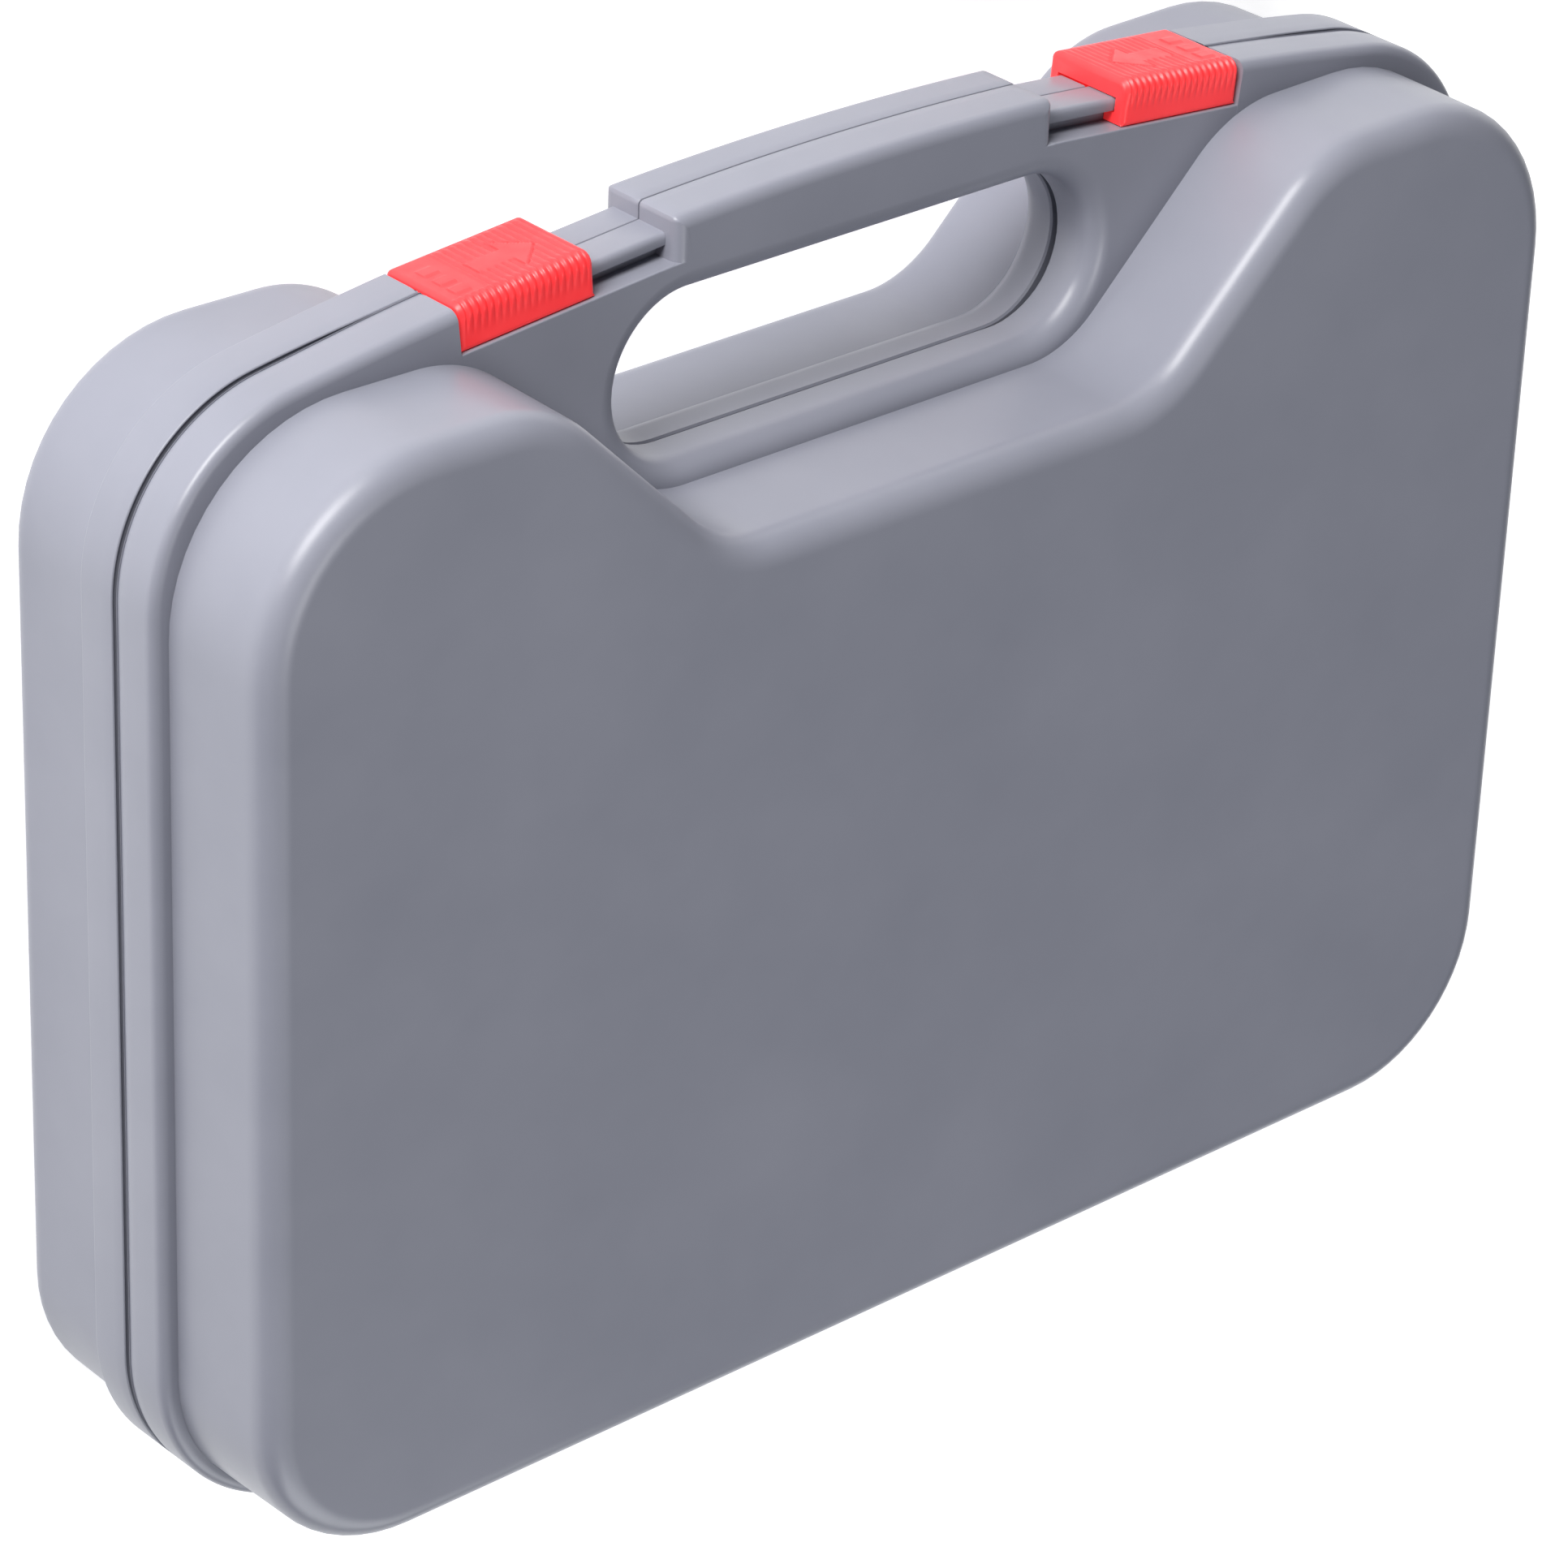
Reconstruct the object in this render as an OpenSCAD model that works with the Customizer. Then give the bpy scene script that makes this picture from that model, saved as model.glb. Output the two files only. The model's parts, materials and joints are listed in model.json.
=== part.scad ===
// Half-inch drive socket set in a carry case.
// The case lies on its back: the base shell is on the floor, the lid is above it, the hinge is at +Y and
// the handle with its two slide latches is at -Y. The origin is under the middle of the whole object.

/* [Case] */
// Width of the rims
case_w = 380; // [370:1:390]
// From the hinge edge to the top of the arched handle edge
case_l = 280; // [278:1:282]
// Depth of each half, from the parting plane to its outside face
half_depth = 44; // [42:1:46]
// Wall thickness of the shells
wall = 2.4; // [2:0.1:3]
// Thickness of the base's rim
base_rim = 11.6; // [11:0.1:12.6]
// Thickness of the lid's rim
lid_rim = 12.8; // [12.4:0.1:13.6]
// Radius of the arched handle edge
arch_r = 947; // [900:1:1000]
// Radius of the rim's corners at the handle side
top_r = 42.4; // [40:0.1:46]
// Radius of the rim's corners at the hinge side
bottom_r = 45; // [42:0.1:48]
// How far the raised body stands in from the rim
body_inset = 4; // [3.5:0.1:5]
// Rounding of the body's outside edge
edge_r = 6; // [4:0.5:8]

/* [Handle] */
// Half the width of the hand hole
hole_w = 68.3; // [66:0.1:69]
// Lower edge of the hand hole, from the hinge edge
hole_low = 221.3; // [220:0.1:223]
// Height of the hand hole
hole_h = 39.2; // [36:0.1:40]
// Half the length of the grip between the latch pockets
grip_w = 54.1; // [52:0.1:56]

/* [Latches] */
// Length of a latch along its rail
latch_w = 35.7; // [34:0.1:37]
// Height of a latch, square to its rail
latch_h = 10.2; // [10:0.1:10.6]
// Half the thickness of a latch across the case
latch_d = 12.2; // [12:0.1:12.4]
// Distance of a closed latch from the middle of the case
latch_x = 93.3; // [92:0.1:94]
// Slope of the rails, which follow the arch
rail_tilt = 5; // [4.5:0.1:5.5]
// Travel of a latch towards the grip
latch_travel = 18; // [17:0.5:19]

/* [Hinge] */
// Radius of the hinge knuckles
knuckle_r = 4; // [3.8:0.1:4.2]
// Radius of the hinge pins
hinge_pin_r = 1.5; // [1.4:0.1:1.8]
// Distance of each hinge from the middle of the case
hinge_x = 105; // [90:1:120]

/* [Tools] */
// Across flats of the square drive
drive = 12.7; // [12.6:0.1:12.8]
// Height of the tray's top above the floor
tray_z = 30; // [30:0.5:31]
// Radial room around a tool in its pocket
room = 0.5; // [0.4:0.1:0.8]
// Length of the long extension bar and of the sliding bar
long_bar = 250; // [240:1:250]
// Length of the short extension bar
short_bar = 125; // [115:1:125]

/* [Hidden] */
LARGE = [32, 30, 27, 24, 22, 21, 20, 19];
SMALL = [18, 17, 16, 15, 14, 13, 12, 11, 10];
PLUGS = [21, 16];
FIXED = ["base_shell", "lid_shell", "left_hinge_pin", "right_hinge_pin", "left_latch", "right_latch",
    "base_tray", "lid_pad", "ratchet_housing", "ratchet_grip", "ratchet_cover", "cover_screws",
    "drive_gear", "gear_ball", "pawl", "reverse_lever", "long_extension", "long_extension_ball",
    "short_extension", "short_extension_ball", "sliding_bar", "bar_end_rings", "sliding_head",
    "sliding_head_ball", "joint_socket_yoke", "joint_cross", "joint_pin_pair", "joint_cross_pin",
    "joint_square_yoke", "joint_ball", "bit_adaptor"];

eps = 0.01;
part_z = half_depth;                       // height of the parting plane
axis_out = 1;                              // the hinge axis lies this far outside the rims
hinge_edge = (case_l - axis_out - knuckle_r) / 2;     // Y of the rims' hinge edge
axis_y = hinge_edge + axis_out;
tool_z = tray_z - room + 0.05;             // axis height of the tools that lie in half-round pockets
square_hole = drive + 0.2;
drive_len = 14;

// ---- Outlines of the case, drawn as [x, distance from the hinge edge] ----

// Turns a point of those outlines into the row's plane

function place(p) = [-p[0], hinge_edge - p[1]];
function arc(c, r, a0, a1, n = 8) =
    [for (i = [0:n]) c + r * [cos(a0 + (a1 - a0) * i / n), sin(a0 + (a1 - a0) * i / n)]];
function unit(v) = v / norm(v);
function left_of(v) = [-v[1], v[0]];

// One rounded corner b of an anticlockwise outline whose sides are moved in by d
function corner(a, b, c, r, d, n) =
    let (u = unit(b - a), w = unit(c - b), turn = atan2(cross(u, w), u * w), s = sign(turn),
         v = b + d * (left_of(u) + left_of(w)) / (1 + u * w), rr = r - s * d,
         m = v - u * rr * tan(abs(turn) / 2) + s * rr * left_of(u),
         start = atan2(-s * left_of(u)[1], -s * left_of(u)[0]))
    arc(m, rr, start, start + turn, n);

function rounded(v, r, d, n = 8) = [for (i = [0:len(v) - 1])
    each corner(v[(i + len(v) - 1) % len(v)], v[i], v[(i + 1) % len(v)], r[i], d, n)];

// Raised body: a rounded rectangle with a shallow valley towards the hinge, below the hand hole
side = case_w / 2 - body_inset;
body_v = [[-side, 3.7], [side, 3.7], [side, 264.7], [109.4, 263.4], [61.4, 216.4], [-61.4, 216.4],
    [-109.4, 263.4], [-side, 264.7]];
body_rad = [39.8, 39.8, 43.4, 35, 28, 28, 35, 43.4];
module body_outline(d) polygon([for (p = rounded(body_v, body_rad, d)) place(p)]);

// Rim: straight sides, round corners and a handle edge that is one arc
arch_c = [0, case_l - arch_r];
top_x = case_w / 2 - top_r;
top_c = [top_x, arch_c[1] + sqrt(pow(arch_r - top_r, 2) - top_x * top_x)];
top_a = atan2(top_c[1] - arch_c[1], top_x);
module rim_outline() polygon([for (p = concat(
    arc([case_w / 2 - bottom_r, bottom_r], bottom_r, -90, 0), arc(top_c, top_r, 0, top_a),
    arc(arch_c, arch_r, top_a, 180 - top_a, 24), arc([-top_c[0], top_c[1]], top_r, 180 - top_a, 180),
    arc([bottom_r - case_w / 2, bottom_r], bottom_r, 180, 270))) place(p)]);

module hand_hole(h) {
    r = hole_h / 2;
    y = hinge_edge - hole_low - hole_h;
    for (s = [-1, 1]) translate([s * (hole_w - r), y + r, -1]) cylinder(r = r, h = h + 2, $fn = 64);
    translate([r - hole_w, y, -1]) cube([2 * (hole_w - r), hole_h, h + 2]);
}

// ---- Rails and latches, drawn along x about the middle of a closed latch, the case's inside at +y ----

rail_q = case_l - latch_x * latch_x / (2 * arch_r) - latch_h;
rail_end = latch_w / 2 + 0.35;                   // outer end of the latch pocket
rail_start = grip_w - latch_x;                   // inner end, at the grip
top_wall = 4.3;                                  // thickness of a latch's top
lip_h = 3;                                       // thickness of the rail's lip
lip_d = 9;                                       // half the depth of the lip
stem_d = 6;                                      // half the depth of the stem
gap = 0.3;                                       // running gap between a latch and its rail
hook_start = 0.2;                                // inner end of a latch's back hook

module at_rail(s) mirror([s < 0 ? 1 : 0, 0, 0])
    translate([latch_x, hinge_edge - rail_q, 0]) rotate([0, 0, rail_tilt]) children();

// The rail's stem and lip on one half, from z = 0 outwards
module rail(from, to) {
    lip_y = top_wall + gap - latch_h;
    translate([from, lip_y, 0]) cube([to - from, lip_h, lip_d]);
    translate([from, lip_y + lip_h, 0]) cube([to - from, -lip_y - lip_h + gap + 1, stem_d]);
}

// C-shaped slide: its front leg hooks under the lid's rail over its whole length, and its back leg hooks
// under the base's rail over the outer half, which the notch in that rail lets out when it is slid open.
module latch_slide() {
    inner_y = top_wall - latch_h;
    half = latch_w / 2;
    color("crimson") difference() {
        translate([-half, -latch_h, -latch_d]) cube([latch_w, latch_h, 2 * latch_d]);
        translate([-half - 1, inner_y, -lip_d - gap]) {
            cube([latch_w + 2, latch_h, lip_d + stem_d + 2 * gap]);
            cube([latch_w + 2, lip_h + 2 * gap, 2 * (lip_d + gap)]);
        }
        translate([-half - 1, inner_y, -latch_d - 1]) cube([half + 1.2, latch_h, latch_d + 1]);
    }
    // Back hook
    color("crimson") translate([hook_start, inner_y + lip_h + 2 * gap, -lip_d - gap - eps])
        cube([half - hook_start, -inner_y - lip_h - 2 * gap, lip_d - stem_d]);
}

module latch(s) at_rail(s) translate([0, 0, part_z]) latch_slide();
module left_latch() latch(-1);
module right_latch() latch(1);

// ---- Hinges: lid knuckle in the middle, a base knuckle on each side ----

knuckle_half = 8;                                // half the length of a lid knuckle
knuckle_end = 18;                                // outer ends of the base knuckles
knuckle_gap = 0.3;                               // running gap between knuckles
relief = 0.5;                                    // room round a knuckle in the other half

module along_x(x0, x1, r) translate([x0, axis_y, 0]) rotate([0, 90, 0])
    cylinder(r = r, h = x1 - x0, $fn = 48);

module knuckle(x0, x1) {
    along_x(x0, x1, knuckle_r);
    translate([x0, hinge_edge - 5, 0]) cube([x1 - x0, 5 + axis_out, 9]);
}

// Knuckles stand on one half (z > 0); the relief makes room for the other half's knuckles
module base_knuckles() for (s = [-1, 1], t = [-1, 1])
    knuckle(s * hinge_x + (t < 0 ? -knuckle_end : knuckle_half + knuckle_gap),
            s * hinge_x + (t < 0 ? -knuckle_half - knuckle_gap : knuckle_end));
module lid_knuckles() for (s = [-1, 1]) knuckle(s * hinge_x - knuckle_half, s * hinge_x + knuckle_half);
module base_relief() let (half = knuckle_half + knuckle_gap) for (s = [-1, 1])
    along_x(s * hinge_x - half, s * hinge_x + half, knuckle_r + relief);
module lid_relief() for (s = [-1, 1], t = [-1, 1])
    along_x(s * hinge_x + (t < 0 ? -knuckle_end - knuckle_gap : knuckle_half),
            s * hinge_x + (t < 0 ? -knuckle_half : knuckle_end + knuckle_gap), knuckle_r + relief);
module pin_bores() for (s = [-1, 1])
    along_x(s * hinge_x - knuckle_end - 1, s * hinge_x + knuckle_end + 1, hinge_pin_r + 0.05);

module hinge_pin(s) color("silver") translate([0, 0, part_z])
    along_x(s * hinge_x - knuckle_end, s * hinge_x + knuckle_end, hinge_pin_r);
module left_hinge_pin() hinge_pin(-1);
module right_hinge_pin() hinge_pin(1);

// ---- Shells. Each half is drawn with the parting plane at z = 0 and its outside face upwards ----

// The raised body with every face moved in by t; its rounded outside edge is built up in steps
module raised_body(t) {
    steps = 3;
    for (i = [0:steps]) let (a = 90 * i / steps)
        linear_extrude(half_depth - edge_r * (1 - sin(a)) - t) body_outline(edge_r * (1 - cos(a)) + t);
}

module half_shell(rim_h) difference() {
    union() {
        linear_extrude(rim_h) rim_outline();
        raised_body(0);
    }
    raised_body(wall);
    translate([0, 0, -1]) linear_extrude(2) body_outline(wall);
    hand_hole(rim_h);
    for (s = [-1, 1]) at_rail(s)
        translate([rail_start, -latch_h - 6, -1])
            cube([rail_end - rail_start, latch_h + 6 + gap, rim_h + 2]);
}

module lid_half() color("dimgray") difference() {
    union() {
        difference() {
            half_shell(lid_rim);
            lid_relief();
        }
        for (s = [-1, 1]) at_rail(s) rail(rail_start - 1, rail_end + 1);
        lid_knuckles();
    }
    pin_bores();
}

module base_half() color("dimgray") difference() {
    union() {
        difference() {
            half_shell(base_rim);
            base_relief();
        }
        for (s = [-1, 1]) at_rail(s) {
            rail(rail_start - 1, hook_start - latch_travel - 0.35);
            rail(gap, rail_end + 1);
        }
        base_knuckles();
    }
    pin_bores();
}

module lid_shell() translate([0, 0, part_z]) lid_half();
module base_shell() translate([0, 0, part_z]) mirror([0, 0, 1]) base_half();

// ---- Foam pad glued inside the lid ----

pad_t = 12;
fit_gap = 0.2;                                   // room between a shell and what lies in it
module lid_pad() color("black") translate([0, 0, part_z]) difference() {
    raised_body(wall + fit_gap);
    translate([-case_w, -case_l, -1]) cube([2 * case_w, 2 * case_l, half_depth - wall - pad_t + 1]);
}

// ---- Layout of the tools in the tray ----

function nose_d(s) = 1.25 * s + 3;
function drive_d(s) = max(22, nose_d(s));
function socket_len(s) = s > 21 ? 42 : 38;
function total(v, i) = i < 0 ? 0 : v[i] + total(v, i - 1);

row_gap = 6;
large_y = 103;
small_y = 57;
function row_w(v, i) = total([for (s = v) drive_d(s) + row_gap], i);
row_start = (row_gap - row_w(LARGE, len(LARGE) - 1)) / 2;    // both rows start level at the left
function row_x(v, i) = row_start + row_w(v, i - 1) + drive_d(v[i]) / 2;

plug_len = 65;
plug_x = 140;
plug_y = [64, 32];                             // one behind the other, both along X
function plug_d(s) = s + 5.6;

bar_r = 6.5;
bar_x = -46;                                   // middle of the long bars and of the ratchet
ratchet_x = -155;                              // axis of the ratchet's drive gear
ratchet_y = 14;
extension_y = -18;
sliding_y = -48;
short_x = 111;
short_y = -44;
bin = [[125, -84], [180, 14]];                 // loose box for the universal joint
joint_x = 152.5;
joint_y = -36;
adaptor_x = -145;
adaptor_y = -95;

// ---- Sockets ----

module tool_along_x(x, y, z) translate([x, y, z]) rotate([0, 90, 0]) children();
module tool_along_y(x, y, z) translate([x, y, z]) rotate([-90, 0, 0]) children();

// The square hole that takes a drive square, open at z = 0
module square_socket() translate([-square_hole / 2, -square_hole / 2, -1])
    cube([square_hole, square_hole, drive_len + 2]);

// Stands on its drive end, which is the wide one
module socket_body(s) {
    len = socket_len(s);
    color("lightgray") difference() {
        union() {
            cylinder(d = nose_d(s), h = len, $fn = 64);
            cylinder(d = drive_d(s), h = 0.42 * len, $fn = 64);
            translate([0, 0, 0.42 * len - eps])
                cylinder(d1 = drive_d(s), d2 = nose_d(s), h = 3, $fn = 64);
        }
        translate([0, 0, len - 0.45 * len]) cylinder(d = s / cos(30), h = len, $fn = 6);
        square_socket();
        cylinder(d = min(drive, s) - 1.5, h = len, $fn = 48);
    }
}

module row_socket(v, i, y) tool_along_y(row_x(v, i), y - socket_len(v[i]) / 2, tool_z)
    socket_body(v[i]);

module at_plug(i) tool_along_x(plug_x - plug_len / 2, plug_y[i], tool_z) children();
module plug_socket(i) color("lightgray") at_plug(i) difference() {
    cylinder(d = plug_d(PLUGS[i]), h = plug_len, $fn = 64);
    translate([0, 0, plug_len - 16]) cylinder(d = PLUGS[i] / cos(30), h = 20, $fn = 6);
    translate([0, 0, 20]) cylinder(d = PLUGS[i] - 0.5, h = plug_len, $fn = 64);
    square_socket();
    cylinder(d = drive - 2, h = plug_len, $fn = 48);
}

// Rubber sleeve that holds the plug's porcelain
module plug_insert(i) color("black") at_plug(i) difference() {
    translate([0, 0, 22]) cylinder(d = PLUGS[i] - 0.5, h = 18, $fn = 64);
    translate([0, 0, 21]) cylinder(d = PLUGS[i] - 6.5, h = 20, $fn = 48);
}

// ---- Drive squares and their retaining balls, along +z from z = 0 ----

ball_r = 2.2;
ball_z = 9;
module square_end(len) difference() {
    translate([-drive / 2, -drive / 2, 0]) cube([drive, drive, len]);
    translate([drive / 2 - 3.6, 0, ball_z]) rotate([0, 90, 0])
        cylinder(r = ball_r + 0.05, h = 5, $fn = 32);
}
module ball() translate([drive / 2 - 1.3, 0, ball_z]) sphere(r = ball_r - 0.05, $fn = 32);

// ---- Ratchet: pear-shaped housing with the gear's axis upright and the square pointing down ----

head_low = 19;
head_top = 39;
cover_t = 2;
gear_teeth = 36;
gear_r = 12.4;
root_r = 11.4;
pawl_x = 20;                                    // pawl and lever share this axis
boss_r = 9.9;

module at_ratchet() translate([ratchet_x, ratchet_y, 0]) children();

module pawl_room(low, high) {
    translate([0, 0, low]) cylinder(r = gear_r + 0.6, h = high - low, $fn = 64);
    translate([12, 0, low]) cylinder(r = 11.4, h = high - low, $fn = 64);
    translate([pawl_x - 1, 0, low]) cylinder(r = 9.5, h = high - low, $fn = 48);
}

module screw_spots() for (p = [[-1, 15.4], [-1, -15.4], [31.6, 0]])
    translate([p[0], p[1], 0]) children();

module ratchet_housing() color("silver") at_ratchet() difference() {
    union() {
        translate([0, 0, head_low]) cylinder(r = 18.5, h = head_top - cover_t - head_low, $fn = 96);
        translate([pawl_x, 0, head_low]) cylinder(r = 14.5, h = head_top - cover_t - head_low, $fn = 96);
        translate([0, 0, head_low]) linear_extrude(head_top - cover_t - head_low)
            polygon([[0, -18.5], [pawl_x + 3, -14.2], [46, -7], [46, 7], [pawl_x + 3, 14.2], [0, 18.5]]);
        tool_along_x(40, 0, tool_z) cylinder(r = 7, h = 90, $fn = 48);
        tool_along_x(125, 0, tool_z) cylinder(r = 8, h = 98, $fn = 48);
    }
    pawl_room(head_low + 4, head_top);
    translate([0, 0, head_low - 1]) cylinder(r = boss_r + 0.05, h = 8, $fn = 64);
    screw_spots() translate([0, 0, head_top - 8]) cylinder(r = 1.25, h = 8, $fn = 24);
}

module ratchet_cover() color("silver") at_ratchet() difference() {
    translate([0, 0, head_top - cover_t]) union() {
        cylinder(r = 18, h = cover_t, $fn = 96);
        translate([pawl_x, 0, 0]) cylinder(r = 14, h = cover_t, $fn = 96);
        linear_extrude(cover_t) polygon([[0, -18], [pawl_x + 3, -13.7], [pawl_x + 3, 13.7], [0, 18]]);
    }
    translate([pawl_x, 0, 0]) cylinder(r = 4.05, h = 60, $fn = 48);
    screw_spots() cylinder(r = 1.6, h = 60, $fn = 24);
}

module cover_screws() color("gray") at_ratchet() screw_spots() {
    translate([0, 0, head_top - 6]) cylinder(r = 1.2, h = 6.1, $fn = 24);
    difference() {
        translate([0, 0, head_top + 0.05]) cylinder(r = 2.4, h = 1.1, $fn = 32);
        translate([-3, -0.3, head_top + 0.6]) cube([6, 0.6, 2]);
    }
}

// Two root points and two tip points for each tooth, at these shares of its pitch
function gear_points() = [for (i = [0:gear_teeth - 1], k = [-0.12, 0.12, 0.42, 0.58])
    let (a = (i + k) * 360 / gear_teeth) (k < 0.3 ? root_r : gear_r) * [cos(a), sin(a)]];

module drive_gear() color("gray") at_ratchet() {
    translate([0, 0, head_low + 4.1]) linear_extrude(10) polygon(gear_points());
    translate([0, 0, head_low - 0.5]) cylinder(r = boss_r, h = 5, $fn = 64);
    translate([0, 0, head_low - 0.5]) mirror([0, 0, 1]) square_end(drive_len);
}
module gear_ball() color("silver") at_ratchet()
    translate([0, 0, head_low - 0.5]) mirror([0, 0, 1]) ball();

// The pawl rocks between two stops and engages a tooth gap 30 degrees to one side or the other
pawl_rock = 4;
pawl_h = 9.8;
tip_a = 30;
module pawl() color("gray") at_ratchet()
    translate([pawl_x, 0, head_low + 4.1]) rotate([0, 0, -pawl_rock]) {
        cylinder(r = 4.2, h = pawl_h, $fn = 48);
        for (s = [0, 1]) mirror([0, s, 0]) linear_extrude(pawl_h) let (
            out = [cos(tip_a), sin(tip_a)], across = [-out[1], out[0]],
            tip = out * (gear_r + 0.25) - [pawl_x, 0])
            polygon([tip - across * 0.25, tip - across * 0.8 + out * 0.9, [-3, 0.4], [0, 0.4],
                [0, 3.8], tip + across * 0.8 + out * 0.9, tip + across * 0.25]);
    }

lever_low = head_top + 0.2;
module reverse_lever() color("silver") at_ratchet() translate([pawl_x, 0, 0]) rotate([0, 0, -20]) {
    translate([0, 0, head_top - cover_t - 0.8]) cylinder(r = 4, h = cover_t + 2, $fn = 48);
    translate([0, 0, lever_low]) cylinder(r = 6.5, h = 3.4, $fn = 64);
    translate([-15, -2.5, lever_low]) cube([15, 5, 3.4]);
    translate([-15, 0, lever_low]) cylinder(r = 3.2, h = 5, $fn = 48);
}

module ratchet_grip() color("black") at_ratchet() difference() {
    tool_along_x(108, 0, tool_z) union() {
        cylinder(r1 = 10, r2 = 14, h = 10, $fn = 64);
        translate([0, 0, 10 - eps]) cylinder(r = 14, h = 95, $fn = 64);
        translate([0, 0, 105 - 2 * eps]) cylinder(r1 = 14, r2 = 15.5, h = 6, $fn = 64);
        translate([0, 0, 111 - 3 * eps]) cylinder(r = 15.5, h = 6, $fn = 64);
    }
    tool_along_x(100, 0, tool_z) cylinder(r = 7.02, h = 25.02, $fn = 48);
    tool_along_x(124.98, 0, tool_z) cylinder(r = 8.02, h = 98.04, $fn = 48);
}

// ---- Extension bars: a female head, a round bar and a male square with a ball ----

head_len = 24;
head_d = 22;
module extension(len) difference() {
    union() {
        cylinder(d = head_d, h = head_len, $fn = 64);
        translate([0, 0, head_len - eps]) cylinder(d1 = head_d, d2 = 2 * bar_r, h = 5, $fn = 64);
        cylinder(r = bar_r, h = len - drive_len - 8, $fn = 48);
        translate([0, 0, len - drive_len - 10]) cylinder(r = 0.75 * drive, h = 10 + eps, $fn = 48);
        translate([0, 0, len - drive_len]) square_end(drive_len);
    }
    square_socket();
}

module at_long() tool_along_x(bar_x - long_bar / 2, extension_y, tool_z) children();
module at_short() tool_along_y(short_x, short_y - short_bar / 2, tool_z) children();
module long_extension() color("lightgray") at_long() extension(long_bar);
module long_extension_ball() color("silver") at_long() translate([0, 0, long_bar - drive_len]) ball();
module short_extension() color("lightgray") at_short() extension(short_bar);
module short_extension_ball() color("silver") at_short() translate([0, 0, short_bar - drive_len]) ball();

// ---- Sliding bar with its head, whose square points to the handle side ----

slider_travel = 90;
slider_w = 22;
module sliding_bar() color("lightgray") tool_along_x(bar_x - long_bar / 2, sliding_y, tool_z)
    cylinder(r = bar_r, h = long_bar, $fn = 48);
module bar_end_rings() color("black") for (s = [-1, 1])
    tool_along_x(bar_x + s * (long_bar / 2 - 6) - 2.5, sliding_y, tool_z) difference() {
        cylinder(r = bar_r + 2, h = 5, $fn = 48);
        translate([0, 0, -1]) cylinder(r = bar_r + 0.02, h = 7, $fn = 48);
    }
module at_slider() translate([bar_x, sliding_y, tool_z]) children();
module sliding_head() color("silver") at_slider() {
    difference() {
        union() {
            rotate([90, 0, 0]) cylinder(r = slider_w / 2, h = 12, $fn = 64);
            rotate([-90, 0, 0]) cylinder(r = slider_w / 2, h = 10, $fn = 64);
        }
        tool_along_x(-20, 0, 0) cylinder(r = bar_r + 0.08, h = 40, $fn = 48);
    }
    translate([0, -12, 0]) rotate([90, 0, 0]) square_end(drive_len);
}
module sliding_head_ball() color("gray") at_slider() translate([0, -12, 0]) rotate([90, 0, 0]) ball();

// ---- Universal joint: a socket yoke, a cross block with its pins and a yoke with the male square ----

yoke_d = 24;
ear_t = 5.5;
ear_len = 12;
block_w = yoke_d - 2 * ear_t - 0.8;
joint_pin_r = 2.5;
joint_z = 18;

// A yoke from y = 0, the axis of its pin, to its far end, with the pin bore along x
module yoke(body_len) difference() {
    rotate([-90, 0, 0]) union() {
        translate([0, 0, ear_len]) cylinder(d = yoke_d, h = body_len, $fn = 64);
        intersection() {
            translate([0, 0, -5]) cylinder(d = yoke_d, h = ear_len + 5 + eps, $fn = 64);
            for (s = [-1, 1]) translate([s * (yoke_d - ear_t) / 2, 0, 0]) union() {
                rotate([0, 90, 0]) cylinder(r = 5, h = ear_t, center = true, $fn = 48);
                translate([-ear_t / 2, -5, 0]) cube([ear_t, 10, ear_len + eps]);
            }
        }
    }
    rotate([0, 90, 0]) cylinder(r = joint_pin_r + 0.05, h = 40, center = true, $fn = 48);
}

module at_joint() translate([joint_x, joint_y, joint_z]) children();
module joint_socket_yoke() color("lightgray") at_joint() rotate([0, -90, 0]) difference() {
    yoke(20);
    translate([-square_hole / 2, ear_len + 20 - drive_len - 1, -square_hole / 2])
        cube([square_hole, drive_len + 2, square_hole]);
}
module joint_square_yoke() color("lightgray") at_joint() mirror([0, 1, 0]) {
    yoke(8);
    translate([0, ear_len + 8 - eps, 0]) rotate([-90, 0, 0]) square_end(drive_len);
}
module joint_ball() color("silver") at_joint() mirror([0, 1, 0])
    translate([0, ear_len + 8 - eps, 0]) rotate([-90, 0, 0]) ball();
module joint_cross() color("gray") at_joint() difference() {
    cube([block_w, block_w, block_w], center = true);
    rotate([0, 90, 0]) cylinder(r = joint_pin_r + 0.05, h = 40, center = true, $fn = 48);
    cylinder(r = joint_pin_r + 0.05, h = 40, center = true, $fn = 48);
}
// The through pin runs upright in the socket yoke, and two short pins lie across in the square yoke
module joint_cross_pin() color("silver") at_joint()
    cylinder(r = joint_pin_r, h = yoke_d - 1, center = true, $fn = 48);
module joint_pin_pair() color("silver") at_joint() for (s = [-1, 1])
    translate([s * (joint_pin_r + 0.4), 0, 0]) rotate([0, s * 90, 0])
        cylinder(r = joint_pin_r, h = yoke_d / 2 - 1 - joint_pin_r, $fn = 48);

// ---- Adaptor from the square drive to a smaller hexagon ----

module bit_adaptor() color("lightgray") tool_along_x(adaptor_x - 19, adaptor_y, tool_z) difference() {
    union() {
        cylinder(d = 22, h = 18, $fn = 64);
        translate([0, 0, 18 - eps]) cylinder(d1 = 22, d2 = 16, h = 3, $fn = 64);
        cylinder(d = 16, h = 38, $fn = 64);
    }
    square_socket();
    translate([0, 0, 20]) cylinder(d = 10 / cos(30), h = 20, $fn = 6);
}

// ---- Tray: one sheet with a wall around each pocket, resting on the base's floor ----

sheet = 1.8;

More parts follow.
